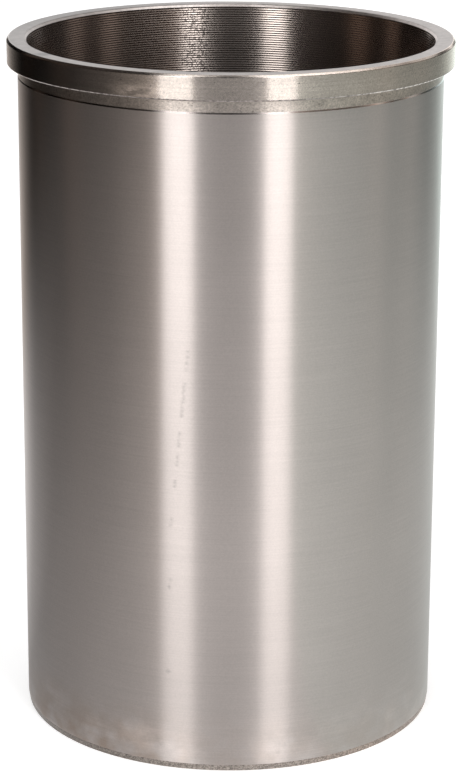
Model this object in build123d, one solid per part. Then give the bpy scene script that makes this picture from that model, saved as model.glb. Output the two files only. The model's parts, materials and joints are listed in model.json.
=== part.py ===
"""Flanged dry cylinder liner of cast iron, turned and ground from one tube.

It stands on its foot. The origin is the centre of the foot's face, +Z runs up the bore to the
flange, and every size is in millimetres. The whole liner is one turned piece, so it is drawn the way
a lathe cuts it: one half section with sharp corners, its edges broken, revolved once.
"""

import os

from build123d import *

# The tube
liner_length = 155.0  # foot face to top face
bore_diameter = 90.0  # bored under size, with the last honing cut still to come
wall = 2.05  # between the bore and the ground outside

# The flange, which hangs in the counterbore of the cylinder block
flange_overhang = 2.35  # how far the rim stands out past the ground outside
flange_height = 5.5
flange_top_chamfer = 0.45
flange_seat_chamfer = 0.2  # at the rim of the seating face
seat_root_radius = 0.3  # fillet where the seating face meets the relief

# The relief turned under the flange, where the grinding wheel runs out
relief_height = 2.6
relief_depth = 0.12  # below the ground outside
shoulder_height = 0.4  # shallow cone from the relief down to the ground outside

# The ends
lead_in_height = 1.4  # cone round the foot that starts the liner into the block
lead_in_depth = 0.22
foot_bore_chamfer = 0.5
top_bore_chamfer = 0.6

# Radii and heights that follow
bore_radius = bore_diameter / 2
ground_radius = bore_radius + wall
relief_radius = ground_radius - relief_depth
flange_radius = ground_radius + flange_overhang
seat_height = liner_length - flange_height
relief_bottom = seat_height - relief_height
ground_top = relief_bottom - shoulder_height


def half_section():
    """The wall cut through on one side of the axis: sharp corners first, then the broken edges."""
    bore_foot = (bore_radius, 0)
    bore_mouth = (bore_radius, liner_length)
    rim_top = (flange_radius, liner_length)
    rim_seat = (flange_radius, seat_height)
    seat_root = (relief_radius, seat_height)

    with BuildSketch(Plane.XZ) as section:
        with BuildLine():
            Polyline(
                bore_foot,
                (ground_radius - lead_in_depth, 0),
                (ground_radius, lead_in_height),
                (ground_radius, ground_top),
                (relief_radius, relief_bottom),
                seat_root,
                rim_seat,
                rim_top,
                bore_mouth,
                close=True,
            )
        make_face()
        chamfer(corner(section, bore_foot), length=foot_bore_chamfer)
        chamfer(corner(section, bore_mouth), length=top_bore_chamfer)
        chamfer(corner(section, rim_top), length=flange_top_chamfer)
        chamfer(corner(section, rim_seat), length=flange_seat_chamfer)
        fillet(corner(section, seat_root), radius=seat_root_radius)
    return section.sketch


def corner(section, place):
    """The corner of the section that lies at a radius and height."""
    return section.vertices().sort_by_distance(place)[0]


def cylinder_liner():
    """The half section turned once round the axis of the bore."""
    with BuildPart() as liner:
        add(half_section())
        revolve(axis=Axis.Z)
    return liner.part


os.makedirs("parts", exist_ok=True)
liner = cylinder_liner()
export_step(liner, "parts/cylinder_liner.step")
print("cylinder_liner", liner.bounding_box().size, "volume", round(liner.volume), "mm3")
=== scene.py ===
# %% [markdown]
# # A flanged cylinder liner
#
# A cylinder liner is the iron sleeve that a piston runs in. This one is turned from a cast tube. Its
# outside is ground to a fine satin, its flange and top are left as the lathe tool made them, and its
# bore is only rough bored, so the marks of the tool's feed still stand in it like a fine thread.
#
# Nothing here is soft and nothing moves. The whole picture rests on two things: a true outline with
# broken edges, and metal that reflects its studio as turned metal does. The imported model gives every
# size, so the sizes are read from its mounts instead of being typed again.

# %% Load the frame
import json
import math

import bpy
import numpy as np
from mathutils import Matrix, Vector


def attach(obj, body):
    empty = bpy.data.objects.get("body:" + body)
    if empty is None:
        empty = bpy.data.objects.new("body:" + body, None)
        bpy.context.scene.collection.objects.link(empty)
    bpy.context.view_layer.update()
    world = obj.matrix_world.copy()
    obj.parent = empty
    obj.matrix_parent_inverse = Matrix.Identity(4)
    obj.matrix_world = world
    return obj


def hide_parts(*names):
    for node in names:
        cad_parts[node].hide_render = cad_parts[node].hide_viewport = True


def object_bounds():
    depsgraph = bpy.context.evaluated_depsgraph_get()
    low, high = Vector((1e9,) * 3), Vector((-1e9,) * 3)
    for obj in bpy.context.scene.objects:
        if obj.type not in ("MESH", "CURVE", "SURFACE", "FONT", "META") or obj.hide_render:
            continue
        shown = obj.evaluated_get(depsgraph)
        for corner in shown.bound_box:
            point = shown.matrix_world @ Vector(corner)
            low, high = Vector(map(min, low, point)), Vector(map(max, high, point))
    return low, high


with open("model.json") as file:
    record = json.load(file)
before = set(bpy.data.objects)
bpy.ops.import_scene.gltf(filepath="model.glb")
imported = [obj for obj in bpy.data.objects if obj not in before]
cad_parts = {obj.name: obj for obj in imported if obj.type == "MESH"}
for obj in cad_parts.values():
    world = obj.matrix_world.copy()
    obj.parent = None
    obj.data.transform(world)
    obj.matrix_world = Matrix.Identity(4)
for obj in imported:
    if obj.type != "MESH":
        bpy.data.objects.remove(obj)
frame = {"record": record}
cad_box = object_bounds()
MM = 0.001
mounts = {mount["name"]: mount for mount in frame["record"]["mounts"]}
print("mounts", sorted(mounts), "box", cad_box)


# %% [markdown]
# ## The camera
#
# The liner is seen from a little above, so the rim opens into an ellipse and the sides draw together
# towards the foot. Both come from a long lens fairly close by. A longer lens further away would give
# the same size but parallel sides, so the distance matters as much as the lens. No shift is used.
# The pitch alone puts the liner in the middle of the picture.

# %% Set the camera
SENSOR_WIDTH = 36.0
CAMERA_LENS = 124.77
CAMERA_DISTANCE = 0.58917
CAMERA_HEIGHT = 0.25277
CAMERA_PITCH = math.radians(16.893)
CAMERA_YAW = math.radians(-0.021)
CAMERA_ROLL = math.radians(0.243)


def make_camera():
    """A long lens in front of the liner, looking along +Y and a little down."""
    lens = bpy.data.cameras.new("camera")
    lens.sensor_width = SENSOR_WIDTH
    lens.lens = CAMERA_LENS
    camera = bpy.data.objects.new("camera", lens)
    bpy.context.scene.collection.objects.link(camera)
    camera.location = (0, -CAMERA_DISTANCE, CAMERA_HEIGHT)
    forward = Vector((
        math.sin(CAMERA_YAW) * math.cos(CAMERA_PITCH),
        math.cos(CAMERA_YAW) * math.cos(CAMERA_PITCH),
        -math.sin(CAMERA_PITCH),
    ))
    camera.rotation_euler = forward.to_track_quat("-Z", "Y").to_euler()
    camera.rotation_euler.rotate_axis("Z", CAMERA_ROLL)
    bpy.context.scene.camera = camera
    return camera


camera = make_camera()
print("camera at", tuple(round(value, 3) for value in camera.location))


# %% [markdown]
# ## The liner's sizes
#
# A designer keeps one value for each thing that can be measured, and works the rest out. The radii and
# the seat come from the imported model's mounts. The small edge breaks aren't mounts, so the gaps
# between the mounts' walls give them: a wall ends where its chamfer starts. No mount tells the shallow
# depths and the rounds, so those are written down.

# %% Read the sizes
LENGTH = cad_box[1][2]
BORE = mounts["bore"]["dims"]["r_mm"] * MM
GROUND = mounts["body"]["dims"]["r_mm"] * MM
RIM = min(abs(side) for corner in cad_box for side in corner[:2])
SEAT = mounts["seat"]["pos_m"][2]


def wall_ends(name):
    """Lowest and highest point of a round mount's wall."""
    middle = mounts[name]["pos_m"][2]
    half = mounts[name]["dims"]["length_mm"] * MM / 2
    return middle - half, middle + half


bore_low, bore_high = wall_ends("bore")
ground_low, ground_high = wall_ends("body")
rim_low, rim_high = wall_ends("flange_rim")

FOOT_BORE_CHAMFER = bore_low
TOP_BORE_CHAMFER = LENGTH - bore_high
RIM_TOP_CHAMFER = LENGTH - rim_high
RIM_SEAT_CHAMFER = rim_low - SEAT
LEAD_IN_DEPTH = 0.22 * MM
RELIEF_DEPTH = 0.12 * MM
SHOULDER = 0.34 * MM
ROOT_RADIUS = 0.3 * MM
EDGE_ROUND = 0.07 * MM
RIM_EDGE_ROUND = 0.3 * MM
MOUTH_ROUND = 0.7 * MM
print("wall", round((GROUND - BORE) / MM, 3), "mm, seat at", round(SEAT / MM, 2), "mm")


# %% [markdown]
# ## The outline, with its edges broken
#
# A lathe makes a solid from one outline, so the mesh is made that way too: an outline in radius and
# height, turned round the axis. A file or a stone takes every sharp corner off by a few hundredths of
# a millimetre, and that tiny round is what catches a bright line on real metal. So each corner gets a
# small arc. The rim's edges are rounder than the rest, since they are the ones that get handled, and
# the edge round the mouth is the roundest.
#
# Smooth shading alone would bend the light over the flats beside each arc. The outline therefore
# carries its own normal at each point: square to a flat, and turning through an arc.

# %% Turn corners into small arcs
ARC_STEP = math.radians(30)


def side_normal(start, end):
    """The normal of a straight side, which points to the right of the way along it."""
    along = np.array(end) - np.array(start)
    along /= np.hypot(*along)
    return np.array((along[1], -along[0]))


def corner_arc(corner, before, after, radius):
    """Points and normals of the arc that rounds a corner between two sides with these normals."""
    turn = math.atan2(before[0] * after[1] - before[1] * after[0], before @ after)
    radius = math.copysign(radius, turn)
    back = np.array((-before[1], before[0]))
    trim = radius * math.tan(turn / 2)
    centre = np.array(corner) - back * trim - before * radius
    steps = max(1, math.ceil(abs(turn) / ARC_STEP))
    angles = math.atan2(before[1], before[0]) + turn * np.arange(steps + 1) / steps
    normals = np.stack((np.cos(angles), np.sin(angles)), axis=1)
    return centre + radius * normals, normals


def broken_outline(corners):
    """A closed outline of corners (radius, height, round, zone), as edges that carry their normals.

    A corner's zone names the finish of the side that leaves it. Its arc still has the finish of the
    side before it. Each edge is a start, an end, the normals at both, and its zone.
    """
    count = len(corners)
    places = [np.array(corner[:2]) for corner in corners]
    normals = [side_normal(places[i], places[(i + 1) % count]) for i in range(count)]
    arcs = [
        corner_arc(places[i], normals[i - 1], normals[i], corners[i][2]) for i in range(count)
    ]
    edges = []
    for i, (points, turned) in enumerate(arcs):
        for k in range(len(points) - 1):
            edges.append((points[k], points[k + 1], turned[k], turned[k + 1], corners[i - 1][3]))
        side_end = arcs[(i + 1) % count][0][0]
        edges.append((points[-1], side_end, normals[i], normals[i], corners[i][3]))
    return edges


# %% Draw the liner's outline
def liner_corners():
    """The half section from the foot of the bore, out, up the outside, over the top and down the bore."""
    relief = GROUND - RELIEF_DEPTH
    relief_low = ground_high + SHOULDER
    return [
        (BORE + FOOT_BORE_CHAMFER, 0, EDGE_ROUND, "foot"),
        (GROUND - LEAD_IN_DEPTH, 0, EDGE_ROUND, "lead_in"),
        (GROUND, ground_low, EDGE_ROUND, "ground"),
        (GROUND, ground_high, EDGE_ROUND, "shoulder"),
        (relief, relief_low, EDGE_ROUND, "relief"),
        (relief, SEAT, ROOT_RADIUS, "seat"),
        (RIM - RIM_SEAT_CHAMFER, SEAT, RIM_EDGE_ROUND, "edge"),
        (RIM, rim_low, RIM_EDGE_ROUND, "rim"),
        (RIM, rim_high, RIM_EDGE_ROUND, "rim"),
        (RIM - RIM_TOP_CHAMFER, LENGTH, RIM_EDGE_ROUND, "top"),
        (BORE + TOP_BORE_CHAMFER, LENGTH, MOUTH_ROUND, "mouth"),
        (BORE, bore_high, EDGE_ROUND, "bore"),
        (BORE, bore_low, EDGE_ROUND, "mouth"),
    ]


outline = broken_outline(liner_corners())
print("outline edges", len(outline))


# %% [markdown]
# ## The feed marks in the bore
#
# A boring bar moves on by its feed with each turn, and its round nose leaves a groove each time, with
# a cusp between two grooves. A sharp nose and a feed of 0.54 mm leave cusps nearly a tenth of a
# millimetre high, whose flanks lean by some eighteen degrees. That lean is what makes the bore look
# striped: a flank that leans up shows the lamps, and the one below it shows the dark bore.
#
# A bump texture can't show that well, because the marks are hardly wider than a pixel here. Real
# grooves can. Each groove is drawn as two leaning flanks. The true marks are one long helix, but it
# climbs only half a millimetre a turn, so plain rings look the same and close up cleanly.

# %% Cut the feed marks
FEED = 0.54 * MM
CUSP_HEIGHT = 0.088 * MM
RUN_OUT = 0.06 * MM


def feed_marks(edge):
    """The bore's straight edge cut into grooves, from the top down. Cusps stay at the bore's radius."""
    start, end, normal, _, zone = edge
    high, low = start[1] - RUN_OUT, end[1] + RUN_OUT
    count = round((high - low) / FEED)
    radii = np.tile((BORE, BORE + CUSP_HEIGHT), count + 1)[: 2 * count + 1]
    heights = np.linspace(high, low, 2 * count + 1)
    points = [start, *np.stack((radii, heights), axis=1), end]
    marks = []
    for before, after in zip(points[:-1], points[1:]):
        lean = side_normal(before, after)
        marks.append((before, after, lean, lean, zone))
    return marks


def is_bore_wall(edge):
    """True for the long straight edge down the bore."""
    start, end, _, _, zone = edge
    return zone == "bore" and abs(start[1] - end[1]) > LENGTH / 2


outline = [piece for edge in outline for piece in (feed_marks(edge) if is_bore_wall(edge) else [edge])]
print("outline edges with feed marks", len(outline))


# %% [markdown]
# ## Turning the outline
#
# The outline is turned in equal steps round the axis. Each step is a strip of four-sided faces, and
# the two ends of the outline meet, so the mesh is closed. The normals go in as custom normals. The
# map unrolls the liner: once round is its width, and the way along the outline is its height.

# %% Turn the mesh
STEPS_ROUND = 156
ZONES = ("foot", "lead_in", "ground", "shoulder", "relief", "seat", "edge", "rim", "top", "mouth", "bore")


def turned_mesh(name, edges):
    """A closed mesh from outline edges turned round Z, with the outline's own normals and a map."""
    rings = len(edges)
    angles = 2 * math.pi * np.arange(STEPS_ROUND) / STEPS_ROUND
    around = np.stack((np.cos(angles), np.sin(angles)), axis=1)
    starts = np.array([edge[0] for edge in edges])
    flat = starts[:, None, :1] * around[None]
    tall = np.repeat(starts[:, 1:], STEPS_ROUND, axis=1)[..., None]
    points = np.concatenate((flat, tall), axis=2).reshape(-1, 3).round(9)

    ring, step = np.divmod(np.arange(rings * STEPS_ROUND), STEPS_ROUND)
    next_ring, next_step = (ring + 1) % rings, (step + 1) % STEPS_ROUND
    corner_rings = np.stack((ring, ring, next_ring, next_ring), axis=1)
    corner_steps = np.stack((step, next_step, next_step, step), axis=1)
    faces = corner_rings * STEPS_ROUND + corner_steps

    mesh = bpy.data.meshes.new(name)
    mesh.from_pydata(points.tolist(), [], faces.tolist())
    mesh.polygons.foreach_set("use_smooth", np.ones(len(faces), bool))
    mesh.polygons.foreach_set("material_index", [ZONES.index(edges[i][4]) for i in ring])

    leans = np.array([(edge[2], edge[2], edge[3], edge[3]) for edge in edges])[ring]
    flat = leans[..., :1] * around[corner_steps]
    normals = np.concatenate((flat, leans[..., 1:]), axis=2).reshape(-1, 3)
    mesh.normals_split_custom_set(normals.tolist())

    lengths = [np.hypot(*(edge[1] - edge[0])) for edge in edges]
    along = np.concatenate(([0], np.cumsum(lengths))) / sum(lengths)
    across = np.stack((step, step + 1, step + 1, step), axis=1) / STEPS_ROUND
    upward = np.stack((along[ring], along[ring], along[ring + 1], along[ring + 1]), axis=1)
    layer = mesh.uv_layers.new(name="OFBake")
    layer.uv.foreach_set("vector", np.stack((across, upward), axis=2).astype(np.float32).ravel())
    mesh.update()
    return mesh


mesh = turned_mesh("turned_liner", outline)
mesh.calc_loop_triangles()
print("faces", len(mesh.polygons), "triangles", len(mesh.loop_triangles))


# %% [markdown]
# ## Bare iron
#
# Every zone is the same warm grey iron, so all of them share one recipe: fully metallic, with a tint
# a little redder than neutral. What differs is what the tool left. Grinding and turning leave grooves
# that run round the liner. Light spreads across such grooves, which is up and down, and hardly along
# them. The shader's anisotropy does that, with a tangent that runs round the axis and is then turned
# by a quarter.
#
# The finish of a surface is then made of a few plain parts, each with its own node recipe: fine lines,
# a grain, and pits. A part can shade the tint, and it can stand in the surface as bump. The lines are
# ordinary noise, squeezed hard along the axis, so that each speck becomes a long thin line.

# %% Small helpers for shader nodes
def add_node(tree, kind, **settings):
    """A new shader node with some of its own settings."""
    node = tree.nodes.new(kind)
    for name, value in settings.items():
        setattr(node, name, value)
    return node


def feed(tree, socket, value):
    """Put a number, a colour or another node's socket into a socket."""
    if isinstance(value, bpy.types.NodeSocket):
        tree.links.new(value, socket)
    else:
        socket.default_value = value


def calculate(tree, operation, *values):
    """A math node on sockets or numbers."""
    node = add_node(tree, "ShaderNodeMath", operation=operation)
    for socket, value in zip(node.inputs, values):
        feed(tree, socket, value)
    return node.outputs[0]


def spread(tree, value, low, high, to_low=0.0, to_high=1.0):
    """A value stretched from one range to another, and held there."""
    node = add_node(tree, "ShaderNodeMapRange", clamp=True)
    for socket, given in zip(node.inputs, (value, low, high, to_low, to_high)):
        feed(tree, socket, given)
    return node.outputs["Result"]


def product(tree, values):
    """Several sockets or numbers multiplied."""
    result = values[0]
    for value in values[1:]:
        result = calculate(tree, "MULTIPLY", result, value)
    return result


def squeezed(tree, place, scale):
    """A place in cells, from a place in metres and the cells a metre along each axis."""
    mapping = add_node(tree, "ShaderNodeMapping")
    mapping.inputs["Scale"].default_value = scale
    tree.links.new(place, mapping.inputs["Vector"])
    return mapping.outputs["Vector"]


def noise(tree, place, scale, detail=2.0):
    """Noise between 0 and 1, mostly near a half."""
    texture = add_node(tree, "ShaderNodeTexNoise")
    texture.inputs["Scale"].default_value = 1.0
    texture.inputs["Detail"].default_value = detail
    tree.links.new(squeezed(tree, place, scale), texture.inputs["Vector"])
    return texture.outputs["Fac"]


def axes_of(tree, place):
    """The X, Y and Z of a place, as three sockets."""
    node = add_node(tree, "ShaderNodeSeparateXYZ")
    tree.links.new(place, node.inputs["Vector"])
    return node.outputs["X"], node.outputs["Y"], node.outputs["Z"]


def distance_from(tree, value, wanted):
    """How far a value is from another, without its sign."""
    return calculate(tree, "ABSOLUTE", calculate(tree, "SUBTRACT", value, wanted))


# %% [markdown]
# ## One recipe for all the finishes
#
# `Iron` holds one material while it is being made: its tree, its shader and the place on the liner.
# Factors collect what shades the tint, and bumps are chained one after another. At the end the tint
# is scaled by all the factors at once, and a stain lies over it like a thin glaze.

# %% The iron recipe
IRON_TINT = (0.53, 0.475, 0.45)
PLAIN = (1.0, 1.0, 1.0)
TURNED_WARMTH = (1.0, 0.985, 0.94)
BORE_WARMTH = (1.0, 0.96, 0.92)
STAIN_TINT = (0.82, 0.74, 0.67)
QUARTER_TURN = 0.25
FLECK_EDGE = 0.06


class Iron:
    """A bare iron material in the making."""

    def __init__(self, name, roughness, anisotropy, depth=1.0, warmth=PLAIN):
        self.material = bpy.data.materials.new(name)
        self.material.use_nodes = True
        self.tree = self.material.node_tree
        self.shader = self.tree.nodes["Principled BSDF"]
        self.place = add_node(self.tree, "ShaderNodeTexCoord").outputs["Object"]
        self.tint = [channel * depth * warm for channel, warm in zip(IRON_TINT, warmth)]
        self.factors = []
        self.stain = None
        self.normal = None
        self.shader.inputs["Metallic"].default_value = 1.0
        self.shader.inputs["Roughness"].default_value = roughness
        self.shader.inputs["Anisotropic"].default_value = anisotropy
        self.shader.inputs["Anisotropic Rotation"].default_value = QUARTER_TURN
        tangent = add_node(self.tree, "ShaderNodeTangent", direction_type="RADIAL", axis="Z")
        self.tree.links.new(tangent.outputs["Tangent"], self.shader.inputs["Tangent"])

    def noise(self, scale, detail=2.0):
        """Noise over the liner, with so many cells a metre along each axis."""
        return noise(self.tree, self.place, scale, detail)

    def flecks(self, scale, threshold):
        """1 inside small ragged flecks, 0 outside. A lower threshold, a number or a socket, brings more."""
        above = calculate(self.tree, "SUBTRACT", self.noise(scale), threshold)
        return spread(self.tree, above, 0.0, FLECK_EDGE)

    def shade(self, value, low, high, at_low, at_high):
        """Let a value between two limits scale the tint."""
        self.factors.append(spread(self.tree, value, low, high, at_low, at_high))

    def shade_where(self, mask, factor):
        """Scale the tint where a mask is 1, and leave it alone where the mask is 0."""
        self.shade(mask, 0, 1, 1.0, factor)

    def bump(self, height, depth):
        """Let a height between 0 and 1 stand in the surface by a depth in metres."""
        node = add_node(self.tree, "ShaderNodeBump")
        node.inputs["Distance"].default_value = depth
        self.tree.links.new(height, node.inputs["Height"])
        if self.normal:
            self.tree.links.new(self.normal, node.inputs["Normal"])
        self.normal = node.outputs["Normal"]

    def finish(self):
        """Join the factors, the stain and the bumps to the shader."""
        colour = add_node(self.tree, "ShaderNodeVectorMath", operation="SCALE")
        colour.inputs[0].default_value = self.tint
        feed(self.tree, colour.inputs["Scale"], product(self.tree, self.factors))
        colour = colour.outputs["Vector"]
        if self.stain:
            veil = add_node(self.tree, "ShaderNodeMix", data_type="RGBA", blend_type="MULTIPLY")
            feed(self.tree, veil.inputs["Factor"], self.stain)
            feed(self.tree, veil.inputs["A"], colour)
            veil.inputs["B"].default_value = (*STAIN_TINT, 1)
            colour = veil.outputs["Result"]
        self.tree.links.new(colour, self.shader.inputs["Base Color"])
        if self.normal:
            self.tree.links.new(self.normal, self.shader.inputs["Normal"])
        return self.material


# %% [markdown]
# ## The ground outside, with its wear
#
# Grinding leaves the finest lines, so they hardly show one by one. What shows is wear: a broken dark
# scratch that climbs the front in short smudges, a few small dark spots, and a few brown stains above
# the foot, with a paler patch where the iron was wiped. All of them belong to places on the liner, so
# they are found by the angle round the axis and by the height. The smudges are a list of stretches
# along the scratch, in millimetres of height, and a colour ramp with hard steps switches them on and
# off. Each spot is an angle, a height in millimetres and how dark it leaves the iron. The whole wall
# also has a painted shade that dims it a little towards its lower end, and painted light just above
# the foot.

# %% Find places round the liner
def round_angle(iron):
    """The angle round the axis from the front, growing to the right, and the height."""
    x, y, z = axes_of(iron.tree, iron.place)
    back = calculate(iron.tree, "MULTIPLY", y, -1.0)
    return calculate(iron.tree, "ARCTAN2", x, back), z


def paint_side_shading(iron, side, inner, outer, factor):
    """Paint shading into the tint round one side of the liner: fully near it, and not at all past an outer
    angle.
    """
    angle, _ = round_angle(iron)
    away = distance_from(iron.tree, angle, math.radians(side))
    iron.shade(away, math.radians(inner), math.radians(outer), factor, 1.0)


# %% Draw the wear of the ground outside
SCRATCH_DASHES = ((55.9, 58.5), (65, 67), (70, 73), (74, 78), (81, 88.6), (91.3, 96))
SCRATCH_ANGLE = math.radians(-22.2)
SCRATCH_CLIMB = math.radians(0.12) / MM
SCRATCH_WIDTH = 1.3 * MM
SPOTS = (
    (-15.9, 42.6, 0.66), (-15.5, 44.2, 0.84), (-16.1, 22.8, 0.66), (15.4, 5.6, 0.88), (13.7, 3.9, 0.86),
)
SPOT_SIZE = 1.0 * MM
STAIN_HEIGHT = 15 * MM
STAIN_ANGLE = math.radians(-46)
STAIN_CORE = math.radians(16)
STAIN_REACH = math.radians(36)
WIPED_ANGLE = math.radians(-25)
WIPED_HEIGHT = 6.2 * MM
WIPED_CORE = (math.radians(3), 1.2 * MM)
WIPED_REACH = (math.radians(11), 4.4 * MM)


def scratch(iron, angle, height):
    """1 on the smudges of the climbing scratch, which is broken into tiny flecks."""
    tree = iron.tree
    path = calculate(tree, "MULTIPLY_ADD", height, SCRATCH_CLIMB, SCRATCH_ANGLE)
    half = SCRATCH_WIDTH / 2 / GROUND
    across = spread(tree, distance_from(tree, angle, path), 0.0, half, 1.0, 0.0)
    ramp = add_node(tree, "ShaderNodeValToRGB")
    ramp.color_ramp.interpolation = "CONSTANT"
    stops = ramp.color_ramp.elements
    stops.remove(stops[1])
    for low, high in SCRATCH_DASHES:
        stops.new(low * MM / LENGTH).color = (1, 1, 1, 1)
        stops.new(high * MM / LENGTH).color = (0, 0, 0, 1)
    tree.links.new(calculate(tree, "DIVIDE", height, LENGTH), ramp.inputs["Fac"])
    broken = spread(tree, iron.noise((900, 900, 1500)), 0.32, 0.6)
    return product(tree, (across, ramp.outputs["Color"], broken))


def spot(iron, angle, height, degrees, millimetres):
    """1 on a small ragged spot at an angle and a height."""
    tree = iron.tree
    aside = calculate(tree, "MULTIPLY", distance_from(tree, angle, math.radians(degrees)), GROUND)
    away = calculate(tree, "ADD", aside, distance_from(tree, height, millimetres * MM))
    ragged = calculate(tree, "MULTIPLY", iron.noise((1500, 1500, 1500)), SPOT_SIZE)
    return spread(tree, calculate(tree, "ADD", away, ragged), SPOT_SIZE * 0.4, SPOT_SIZE * 1.4, 1.0, 0.0)


def foot_stain(iron, angle, height):
    """A cloudy mask above the foot, strongest at the left of the front."""
    tree = iron.tree
    cloud = spread(tree, iron.noise((170, 170, 230), 5.0), 0.36, 0.58)
    low = spread(tree, height, STAIN_HEIGHT * 0.15, STAIN_HEIGHT, 1.0, 0.0)
    near = spread(tree, distance_from(tree, angle, STAIN_ANGLE), STAIN_CORE, STAIN_REACH, 1.0, 0.3)
    return product(tree, (cloud, low, near))


def mottle(iron, height):
    """Pale clouds low on the wall, where the iron was wiped."""
    tree = iron.tree
    cloud = spread(tree, iron.noise((120, 120, 160), 4.0), 0.5, 0.66)
    low = spread(tree, height, STAIN_HEIGHT * 0.3, STAIN_HEIGHT, 1.0, 0.0)
    return product(tree, (cloud, low))


def wiped_patch(iron, angle, height):
    """A pale cloudy patch at the left of the foot."""
    tree = iron.tree
    cloud = spread(tree, iron.noise((230, 230, 330), 4.0), 0.34, 0.56)
    places = ((angle, WIPED_ANGLE), (height, WIPED_HEIGHT))
    fades = [
        spread(tree, distance_from(tree, value, wanted), core, reach, 1.0, 0.0)
        for (value, wanted), core, reach in zip(places, WIPED_CORE, WIPED_REACH)
    ]
    return product(tree, (cloud, *fades))


print("scratch in", len(SCRATCH_DASHES), "smudges,", len(SPOTS), "spots")


# %% Put the ground finish together
# Heights of a painted shade that dims the wall towards its lower end, and of painted light above the foot.
DIM_START = 48 * MM
DIM_FULL = 14 * MM
FOOT_PALE = 3 * MM


def ground_iron():
    """The ground outside: very fine lines, a soft scratch, spots, stains, and painted shade low down."""
    iron = Iron("ground_iron", 0.31, 1.0)
    lines = iron.noise((60, 60, 4500))
    clouds = iron.noise((45, 45, 30))
    grain = iron.noise((2600, 2600, 3000), 1.0)
    iron.shade(lines, 0.3, 0.7, 0.965, 1.035)
    iron.shade(clouds, 0.3, 0.7, 0.97, 1.03)
    iron.shade(grain, 0.3, 0.7, 0.96, 1.04)
    angle, height = round_angle(iron)
    iron.shade_where(scratch(iron, angle, height), 0.76)
    for degrees, millimetres, darkness in SPOTS:
        iron.shade_where(spot(iron, angle, height, degrees, millimetres), darkness)
    iron.stain = foot_stain(iron, angle, height)
    iron.shade_where(mottle(iron, height), 1.14)
    iron.shade_where(wiped_patch(iron, angle, height), 1.28)
    # Painted shade low on the wall, and painted light just above the foot.
    iron.shade(height, DIM_FULL, DIM_START, 0.9, 1.0)
    iron.shade(height, FOOT_PALE, DIM_FULL, 1.06, 1.0)
    iron.bump(lines, 0.0008 * MM)
    return iron.finish()


# %% [markdown]
# ## The lathe-turned and rough zones
#
# The flange was turned, with faint lines, a fine speckle and a few small pits where the tool tore
# grains out. A pale rub mark sits on its left, where the liner leant on something. Its tint also has
# painted shade on its left and a painted highlight near its right end. Small nicks break its lower
# edge, whose tint is raised into a painted highlight, with painted shade in front. The step under the
# relief is a clean cut, with painted shade on its left and a painted highlight on its right. The
# relief and the lead-in at the foot are rougher: their grain scatters light on all sides, so the lamps
# lose their sharp edges there. Both have painted shade on their left, and the lead-in's tint is darker
# than the relief's. The flange, the relief and the lead-in are a little yellower on their right, as
# under a thin film of old oil: a faint stain, with the tint lightened to keep its brightness.
#
# The top was faced and then wiped, with one dark smudge. Its tint has painted shade towards the left
# and at the back on the left, and painted light towards the right. The chamfers round the bore have
# the same finish with a lighter tint, a painted highlight.

# %% Marks of the turned zones
RUB_ANGLE = math.radians(-24)
RUB_HEIGHT = 150.8 * MM
RUB_REACH = (math.radians(8), 2.2 * MM)
FILM_START = 12 * MM
FILM_FULL = 28 * MM
FILM_STAIN = 0.5
FILM_LIGHTENING = 1.14


def rub_mark(iron):
    """A cloudy pale patch on the left of the flange, near its lower edge."""
    tree = iron.tree
    angle, height = round_angle(iron)
    cloud = spread(tree, iron.noise((260, 260, 700), 3.0), 0.38, 0.52)
    across = spread(tree, distance_from(tree, angle, RUB_ANGLE), 0.0, RUB_REACH[0], 1.0, 0.0)
    upward = spread(tree, distance_from(tree, height, RUB_HEIGHT), 0.0, RUB_REACH[1], 1.0, 0.0)
    return product(tree, (cloud, across, upward))


def film_on_right(iron):
    """A thin yellowish film on the right. The tint is lightened by what the film takes of the light."""
    x, _, _ = axes_of(iron.tree, iron.place)
    iron.stain = spread(iron.tree, x, FILM_START, FILM_FULL, 0.0, FILM_STAIN)
    iron.shade(x, FILM_START, FILM_FULL, 1.0, FILM_LIGHTENING)


# %% Make the turned finishes
def turned_iron():
    """The flange's side: faint lines, a speckle, blotches, a few pits, and painted shade and highlight."""
    iron = Iron("turned_iron", 0.22, 1.0, 0.93, TURNED_WARMTH)
    lines = iron.noise((14, 14, 4000))
    blotches = iron.noise((160, 160, 400), 3.0)
    grain = iron.noise((2600, 2600, 2600))
    iron.shade(lines, 0.3, 0.7, 0.93, 1.07)
    iron.shade(blotches, 0.3, 0.7, 0.94, 1.06)
    iron.shade(grain, 0.3, 0.7, 0.88, 1.12)
    iron.shade_where(iron.flecks((1300, 1300, 1800), 0.69), 0.6)
    iron.shade_where(rub_mark(iron), 2.2)
    # Painted shade on the left of the flange, and a painted highlight near its right end.
    paint_side_shading(iron, -52, 8, 34, 0.47)
    paint_side_shading(iron, 84, 10, 28, 1.8)
    film_on_right(iron)
    iron.bump(lines, 0.002 * MM)
    iron.bump(grain, 0.003 * MM)
    return iron.finish()


def edge_iron():
    """The flange's lower edge: small nicks, a raised tint as a painted highlight, painted shade in front."""
    # The tint is raised far above the other zones' to paint a highlight along the edge.
    iron = Iron("edge_iron", 0.25, 0.8, 1.45)
    nicks = iron.noise((1300, 1300, 900))
    iron.shade(nicks, 0.35, 0.6, 0.4, 1.25)
    # Painted shade on the front of the edge.
    paint_side_shading(iron, 0, 24, 36, 0.5)
    return iron.finish()


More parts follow.
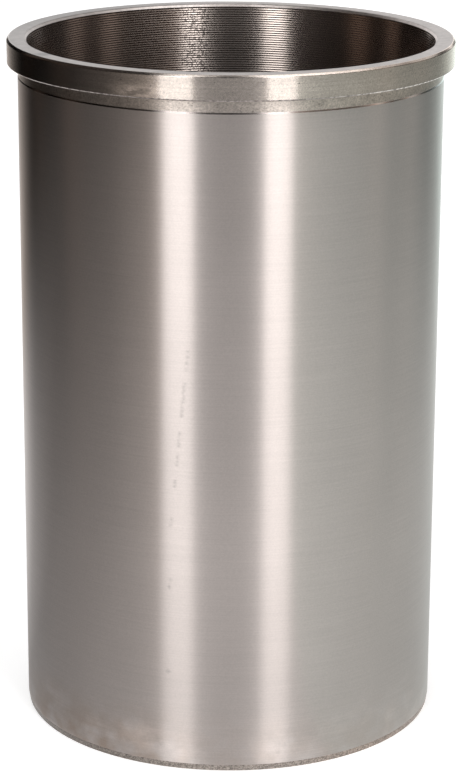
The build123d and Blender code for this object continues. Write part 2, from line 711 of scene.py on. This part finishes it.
def shoulder_iron():
    """The narrow step under the relief: a clean cut, with painted shade left and a painted highlight right.
    """
    iron = Iron("shoulder_iron", 0.2, 0.8, 0.7)
    iron.shade(iron.noise((500, 500, 500)), 0.3, 0.7, 0.8, 1.1)
    # Painted shade on the left of the step, and a painted highlight on its right that lifts the tint above
    # 1.
    paint_side_shading(iron, -78, 37, 54, 0.22)
    paint_side_shading(iron, 95, 40, 83, 3.6)
    return iron.finish()


# %% Make the rough finishes
def rough_iron(name, roughness, anisotropy, depth, darkest, left):
    """The relief and the lead-in: a speckled grain with little sheen, and painted shade on the left side."""
    iron = Iron(name, roughness, anisotropy, depth, TURNED_WARMTH)
    speckle = iron.noise((2800, 2800, 3200))
    patches = iron.noise((300, 300, 600))
    iron.shade(speckle, 0.32, 0.68, darkest, 1.22)
    iron.shade(patches, 0.3, 0.7, 0.88, 1.12)
    # Painted shade on the left side.
    paint_side_shading(iron, -75, 30, 70, left)
    film_on_right(iron)
    iron.shade_where(iron.flecks((1700, 1700, 2800), 0.62), 0.6)
    iron.bump(speckle, 0.008 * MM)
    return iron.finish()


# %% Make the faced finish
SMUDGE = (-39.3 * MM, -25.0 * MM)
SMUDGE_SIZE = 2.4 * MM


def smudge(iron, x, y):
    """1 on a ragged smudge on the left of the top."""
    tree = iron.tree
    aside, along = distance_from(tree, x, SMUDGE[0]), distance_from(tree, y, SMUDGE[1])
    ragged = calculate(tree, "MULTIPLY", iron.noise((900, 900, 900)), SMUDGE_SIZE)
    away = calculate(tree, "ADD", calculate(tree, "ADD", aside, along), ragged)
    return spread(tree, away, SMUDGE_SIZE * 1.1, SMUDGE_SIZE * 1.9, 1.0, 0.0)


def faced_iron(name, depth):
    """The top face and the bore's chamfers: faced and wiped, one dark smudge, and painted shade by side."""
    iron = Iron(name, 0.32, 0.3, depth)
    x, y, _ = axes_of(iron.tree, iron.place)
    # Painted shade towards the left of the top, and painted light towards its right.
    iron.shade(x, -GROUND, GROUND, 0.82, 1.07)
    iron.shade_where(smudge(iron, x, y), 0.45)
    # Painted shade at the back on the left.
    paint_side_shading(iron, -130, 15, 42, 0.7)
    grain = iron.noise((1900, 1900, 1900))
    blotches = iron.noise((520, 520, 520), 3.0)
    iron.shade(grain, 0.3, 0.7, 0.9, 1.1)
    iron.shade(blotches, 0.3, 0.7, 0.86, 1.1)
    iron.bump(grain, 0.004 * MM)
    return iron.finish()


# %% [markdown]
# ## The bored wall
#
# The feed marks are real geometry. This finish adds painted shade in the bottom of each groove with a
# painted highlight on each cusp, and short dark flecks where the tool tore the open grain of the iron.
# The flecks show wherever a lamp is reflected, and towards the back on the left they crowd together.
# The wall also has painted shade that darkens it from the mouth down, where less light gets in, and
# painted shade on its left with painted light on its right.

# %% Make the bored finish
PATCH_ASIDE = -8.2 * MM
PATCH_CORE = 1.5 * MM
PATCH_REACH = 6 * MM
# Depths below the mouth where the wall's painted shade starts and where it is full.
BORE_SHADE_START = 3 * MM
DARK_DEPTH = 11 * MM
SIDE_REACH = 12 * MM


def bored_iron():
    """The bore: darker iron, flecks in one patch, painted shade and light by groove, by side and by depth.
    """
    iron = Iron("bored_iron", 0.23, 0.7, 0.88, BORE_WARMTH)
    tree = iron.tree
    x, _, z = axes_of(tree, iron.place)
    threshold = spread(tree, distance_from(tree, x, PATCH_ASIDE), PATCH_CORE, PATCH_REACH, 0.48, 0.7)
    # Painted shade in the bottom of each groove, and a painted highlight on each cusp.
    depth_down = calculate(tree, "SUBTRACT", bore_high - RUN_OUT, z)
    groove = calculate(tree, "PINGPONG", depth_down, FEED / 2)
    iron.shade(groove, 0, FEED / 2, 1.2, 0.75)
    # Painted shade on the left of the bore, and painted light on its right.
    iron.shade(x, -SIDE_REACH, SIDE_REACH, 0.95, 1.11)
    # Painted shade that darkens the wall from the mouth down.
    iron.shade(z, bore_high - DARK_DEPTH, bore_high - BORE_SHADE_START, 0.72, 1.0)
    iron.shade_where(iron.flecks((2300, 2300, 3300), threshold), 0.3)
    iron.shade(iron.noise((1800, 1800, 2600)), 0.3, 0.7, 0.95, 1.05)
    return iron.finish()


# %% Give each zone its finish
finishes = {
    "ground": ground_iron(),
    "turned": turned_iron(),
    "relief": rough_iron("relief_iron", 0.33, 0.85, 0.93, 0.75, 0.82),
    "edge": edge_iron(),
    "shoulder": shoulder_iron(),
    "lead_in": rough_iron("lead_in_iron", 0.42, 0.6, 0.7, 0.42, 0.62),
    "faced": faced_iron("faced_iron", 0.7),
    # The chamfers round the bore: the faced finish with a lighter tint, a painted highlight.
    "mouth": faced_iron("mouth_iron", 1.1),
    "bored": bored_iron(),
}
zone_finish = {
    "foot": "turned", "lead_in": "lead_in", "ground": "ground", "shoulder": "shoulder",
    "relief": "relief", "seat": "turned", "edge": "edge", "rim": "turned", "top": "faced", "mouth": "mouth",
    "bore": "bored",
}
for zone in ZONES:
    mesh.materials.append(finishes[zone_finish[zone]])

liner = bpy.data.objects.new("liner", mesh)
bpy.context.scene.collection.objects.link(liner)
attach(liner, "root")
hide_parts("cylinder_liner")
print("finishes", sorted(finishes))


# %% [markdown]
# ## The studio
#
# Metal shows its studio, so the studio is part of the finish. Two tall strip lamps stand left and
# right of the camera and draw the two bright bands. Round them stand cards, as a photographer sets
# them up to give metal its depth: dark between the lamps and on the left, grey on the right. More
# cards lie on the floor beside the liner, and one hangs far above for the broken edges of the rim.
# The floor and the background are plain white.
#
# A card that changes its shade along its length gives a soft fade on the metal, where a plain one
# would end in an edge. Its shades are therefore kept at its corners, and the surface blends between
# them.

# %% Put up the lamps
LAMP_DISTANCE = 2.0
LAMP_TALL = 4.4


def at_azimuth(degrees, distance, height):
    """A place round the liner. Azimuth 0 is towards the camera, and it grows to the right."""
    angle = math.radians(degrees)
    return Vector((distance * math.sin(angle), -distance * math.cos(angle), height))


def strip_lamp(name, azimuth, width, radiance):
    """A tall soft lamp that stands on the floor and faces the liner."""
    lamp = bpy.data.lights.new(name, "AREA")
    lamp.shape = "RECTANGLE"
    lamp.size = width
    lamp.size_y = LAMP_TALL
    lamp.energy = radiance * width * LAMP_TALL * math.pi
    holder = bpy.data.objects.new(name, lamp)
    bpy.context.scene.collection.objects.link(holder)
    holder.location = at_azimuth(azimuth, LAMP_DISTANCE, LAMP_TALL / 2)
    facing = at_azimuth(azimuth, -1, 0)
    holder.rotation_euler = facing.to_track_quat("-Z", "Y").to_euler()
    holder.visible_camera = False
    return holder


strip_lamp("lamp_left", azimuth=-27.4, width=0.6, radiance=2.65)
strip_lamp("lamp_right", azimuth=25.2, width=0.51, radiance=2.97)


# %% [markdown]
# ## The cards
#
# Each card is a list of stops round the liner: an azimuth, a distance and a shade. A standing card
# rises from one height to another, and a lying one reaches from an inner distance out to its stops.
# Each has a tint too, because bare iron takes its colour from what it mirrors. Only reflections show
# the cards.
#
# The camera looks down, so the upright wall mirrors what lies lower than itself. Cards below the
# liner's top therefore shape the outside, and cards above it shape only the bore, the chamfers and
# the top. On the left three of them stand one above the other, because the dark side of the wall
# changes a little from the foot up to the flange.

# %% A card and its glow
CARD_STEP = 4


def card_material():
    """A plain glow with the shade that is kept at a card's corners."""
    material = bpy.data.materials.new("card")
    material.use_nodes = True
    tree = material.node_tree
    tree.nodes.clear()
    glow = add_node(tree, "ShaderNodeEmission")
    shade = add_node(tree, "ShaderNodeAttribute", attribute_name="shade")
    output = add_node(tree, "ShaderNodeOutputMaterial")
    tree.links.new(shade.outputs["Color"], glow.inputs["Color"])
    tree.links.new(glow.outputs["Emission"], output.inputs["Surface"])
    return material


card_glow = card_material()


def between_stops(stops):
    """Azimuths, distances and shades at small steps through the stops."""
    known = np.array(sorted(stops))
    steps = max(2, round((known[-1, 0] - known[0, 0]) / CARD_STEP))
    azimuths = np.linspace(known[0, 0], known[-1, 0], steps + 1)
    distances, shades = (np.interp(azimuths, known[:, 0], known[:, column]) for column in (1, 2))
    return azimuths, distances, shades


def card(name, first_edge, last_edge, shades, tint):
    """A strip between two edges of as many places, which glows with a shade at each place."""
    count = len(first_edge)
    faces = [(k, k + 1, count + k + 1, count + k) for k in range(count - 1)]
    card_mesh = bpy.data.meshes.new(name)
    card_mesh.from_pydata([*first_edge, *last_edge], [], faces)
    glows = [(*(shade * channel for channel in tint), 1.0) for shade in shades]
    layer = card_mesh.color_attributes.new("shade", "FLOAT_COLOR", "POINT")
    layer.data.foreach_set("color", np.ravel(glows * 2))
    card_mesh.materials.append(card_glow)
    holder = bpy.data.objects.new(name, card_mesh)
    bpy.context.scene.collection.objects.link(holder)
    holder.visible_camera = False
    holder.visible_diffuse = False
    holder.visible_shadow = False
    return holder


def standing_card(name, low, high, tint, stops):
    """A card that stands round the liner through its stops."""
    azimuths, distances, shades = between_stops(stops)
    edges = [[tuple(at_azimuth(a, d, z)) for a, d in zip(azimuths, distances)] for z in (low, high)]
    return card(name, *edges, shades, tint)


def lying_card(name, height, inner, tint, stops):
    """A card that lies at a height, from an inner distance out to its stops."""
    azimuths, distances, shades = between_stops(stops)
    near = [tuple(at_azimuth(a, inner, height)) for a in azimuths]
    far = [tuple(at_azimuth(a, d, height)) for a, d in zip(azimuths, distances)]
    return card(name, near, far, shades, tint)


# %% Put up the cards in the middle and on the left
OVER_TOP = 0.156
NEUTRAL = (1.0, 1.0, 1.0)
WARM = (1.1, 1.0, 0.92)
BROWN = (1.2, 1.0, 0.88)
UMBER = (1.4, 1.0, 0.77)

standing_card("card_middle", 0, 0.33, NEUTRAL, (
    (-18, 0.5, 0.54), (-12, 0.5, 0.27), (0, 0.5, 0.22), (10, 0.5, 0.3), (17.3, 0.5, 0.68),
))
standing_card("card_middle_high", 0.33, 1.6, NEUTRAL, (
    (-21.5, 0.5, 0.3), (-12, 0.5, 0.12), (0, 0.5, 0.1), (10, 0.5, 0.15), (17.3, 0.5, 0.55),
))
standing_card("card_left_low", 0, 0.06, WARM, (
    (-32.6, 0.26, 0.63), (-42, 0.26, 0.34), (-60, 0.26, 0.19), (-90, 0.28, 0.08), (-115, 0.28, 0.06),
    (-128, 0.28, 0.06), (-138, 0.3, 0.24), (-150, 0.31, 0.6), (-158, 0.32, 0.9),
))
standing_card("card_left", 0.06, 0.105, WARM, (
    (-32.6, 0.26, 0.63), (-42, 0.26, 0.32), (-60, 0.26, 0.14), (-90, 0.28, 0.025), (-115, 0.28, 0.0),
    (-128, 0.28, 0.0), (-138, 0.3, 0.17), (-150, 0.31, 0.5), (-158, 0.32, 0.72),
))
standing_card("card_left_top", 0.105, OVER_TOP, WARM, (
    (-32.6, 0.26, 0.63), (-42, 0.26, 0.32), (-60, 0.26, 0.13), (-90, 0.28, 0.02), (-115, 0.28, 0.0),
    (-128, 0.28, 0.0), (-138, 0.3, 0.08), (-150, 0.31, 0.22), (-158, 0.32, 0.5),
))
standing_card("card_left_high", OVER_TOP, 0.6, BROWN, ((-36.5, 0.26, 0.04), (-78, 0.28, 0.015)))
standing_card("card_left_bands", OVER_TOP, 0.34, UMBER, (
    (-78, 0.28, 0.01), (-88, 0.28, 0.2), (-98, 0.28, 0.01), (-108, 0.28, 0.01), (-116, 0.28, 0.165),
    (-124, 0.28, 0.005),
))
standing_card("card_left_dark", 0.34, 0.6, BROWN, ((-78, 0.28, 0.07), (-124, 0.28, 0.07)))
standing_card("card_left_end", OVER_TOP, 0.28, BROWN, ((-124, 0.28, 0.005), (-146, 0.28, 0.005)))
standing_card("card_left_end_high", 0.28, 0.44, BROWN, ((-124, 0.28, 0.07), (-146, 0.28, 0.07)))
standing_card("card_left_tip", OVER_TOP, 0.29, BROWN, ((-146, 0.28, 0.005), (-158, 0.28, 0.005)))


# %% Put up the cards on the right, on the floor and overhead
CARD_INNER = 0.0475
COOL = (0.89, 1.0, 0.97)
FAINTLY_COOL = (0.955, 1.0, 0.985)

standing_card("card_right", 0, OVER_TOP, COOL, (
    (31, 0.42, 0.95), (45, 0.42, 0.76), (90, 0.42, 0.5), (125, 0.42, 0.32), (140, 0.42, 0.55),
    (165, 0.42, 1.35),
))
standing_card("card_right_high", OVER_TOP, 0.5, BROWN, (
    (31, 0.42, 0.5), (45, 0.42, 0.15), (58, 0.42, 0.1), (72, 0.42, 0.07), (81, 0.42, 0.46),
    (90, 0.42, 0.06), (98, 0.42, 0.06),
))
standing_card("card_right_far", OVER_TOP, 0.48, BROWN, (
    (98, 0.42, 0.06), (108, 0.42, 0.36), (118, 0.42, 0.02),
))
standing_card("card_right_end", OVER_TOP, 0.33, BROWN, ((118, 0.42, 0.02), (146, 0.42, 0.01)))
standing_card("card_right_tip", OVER_TOP, 0.21, BROWN, ((146, 0.42, 0.01), (160, 0.42, 0.01)))
lying_card("card_floor_left", 0.001, CARD_INNER, NEUTRAL, (
    (-172, 0.3, 1.75), (-160, 0.3, 1.4), (-150, 0.3, 1.15), (-125, 0.3, 0.62), (-105, 0.3, 0.45),
    (-70, 0.27, 0.56), (-40, 0.26, 0.76), (-15, 0.4, 1.0), (30, 0.42, 1.0),
))
lying_card("card_floor_right", 0.001, CARD_INNER, FAINTLY_COOL, (
    (30, 0.42, 1.0), (50, 0.42, 0.96), (90, 0.42, 0.84), (140, 0.42, 0.86), (170, 0.42, 1.2),
))
lying_card("card_above", 4.5, 0.01, NEUTRAL, (
    (-150, 4.5, 0.03), (-72, 4.5, 0.03), (-64, 4.5, 3.0), (-36, 4.5, 3.0), (-28, 4.5, 0.05), (28, 4.5, 0.05),
    (36, 4.5, 3.0), (95, 4.5, 2.8), (110, 4.5, 1.2),
))


# %% [markdown]
# ## Floor and background
#
# The floor is a matt pale plane that takes the liner's soft shadow. Rays from the camera and from
# metal see it lifted a little, so that it reads as white without more light on the liner. Inside the
# bore it isn't lifted, so the bore stays as dark as it should. The world does the same for the
# background.

# %% Lay the floor and set the world
FLOOR_SIZE = 8.0
FLOOR_GREY = 0.85
FLOOR_LIFT = 0.46
WORLD_LIGHT = 0.7


def seen_by_camera_or_metal(tree):
    """1 for rays from the camera, from a reflection or through glass."""
    path = add_node(tree, "ShaderNodeLightPath")
    seen = calculate(tree, "MAXIMUM", path.outputs["Is Camera Ray"], path.outputs["Is Glossy Ray"])
    return calculate(tree, "MAXIMUM", seen, path.outputs["Is Transmission Ray"])


def make_floor():
    """A wide matt floor under the liner."""
    half = FLOOR_SIZE / 2
    floor_mesh = bpy.data.meshes.new("floor")
    corners = [(-half, -half, 0), (half, -half, 0), (half, half, 0), (-half, half, 0)]
    floor_mesh.from_pydata(corners, [], [(0, 1, 2, 3)])
    floor = bpy.data.objects.new("floor", floor_mesh)
    bpy.context.scene.collection.objects.link(floor)
    material = bpy.data.materials.new("pale_floor")
    material.use_nodes = True
    tree = material.node_tree
    shader = tree.nodes["Principled BSDF"]
    shader.inputs["Base Color"].default_value = (FLOOR_GREY, FLOOR_GREY, FLOOR_GREY, 1)
    shader.inputs["Roughness"].default_value = 1.0
    shader.inputs["Specular IOR Level"].default_value = 0.0
    shader.inputs["Emission Color"].default_value = (1, 1, 1, 1)
    place = add_node(tree, "ShaderNodeTexCoord").outputs["Object"]
    away = add_node(tree, "ShaderNodeVectorMath", operation="LENGTH")
    tree.links.new(place, away.inputs[0])
    outside = calculate(tree, "GREATER_THAN", away.outputs["Value"], BORE)
    lift = product(tree, (seen_by_camera_or_metal(tree), outside, FLOOR_LIFT))
    tree.links.new(lift, shader.inputs["Emission Strength"])
    floor_mesh.materials.append(material)
    return floor


def make_world():
    """A white background, and plain light for the rest."""
    world = bpy.data.worlds.new("studio")
    bpy.context.scene.world = world
    world.use_nodes = True
    tree = world.node_tree
    background = tree.nodes["Background"]
    background.inputs["Color"].default_value = (1, 1, 1, 1)
    strength = spread(tree, seen_by_camera_or_metal(tree), 0.0, 1.0, WORLD_LIGHT, 1.0)
    tree.links.new(strength, background.inputs["Strength"])


make_floor()
make_world()
bpy.context.scene.view_settings.view_transform = "Standard"
print("floor", FLOOR_SIZE, "m wide, world light", WORLD_LIGHT)
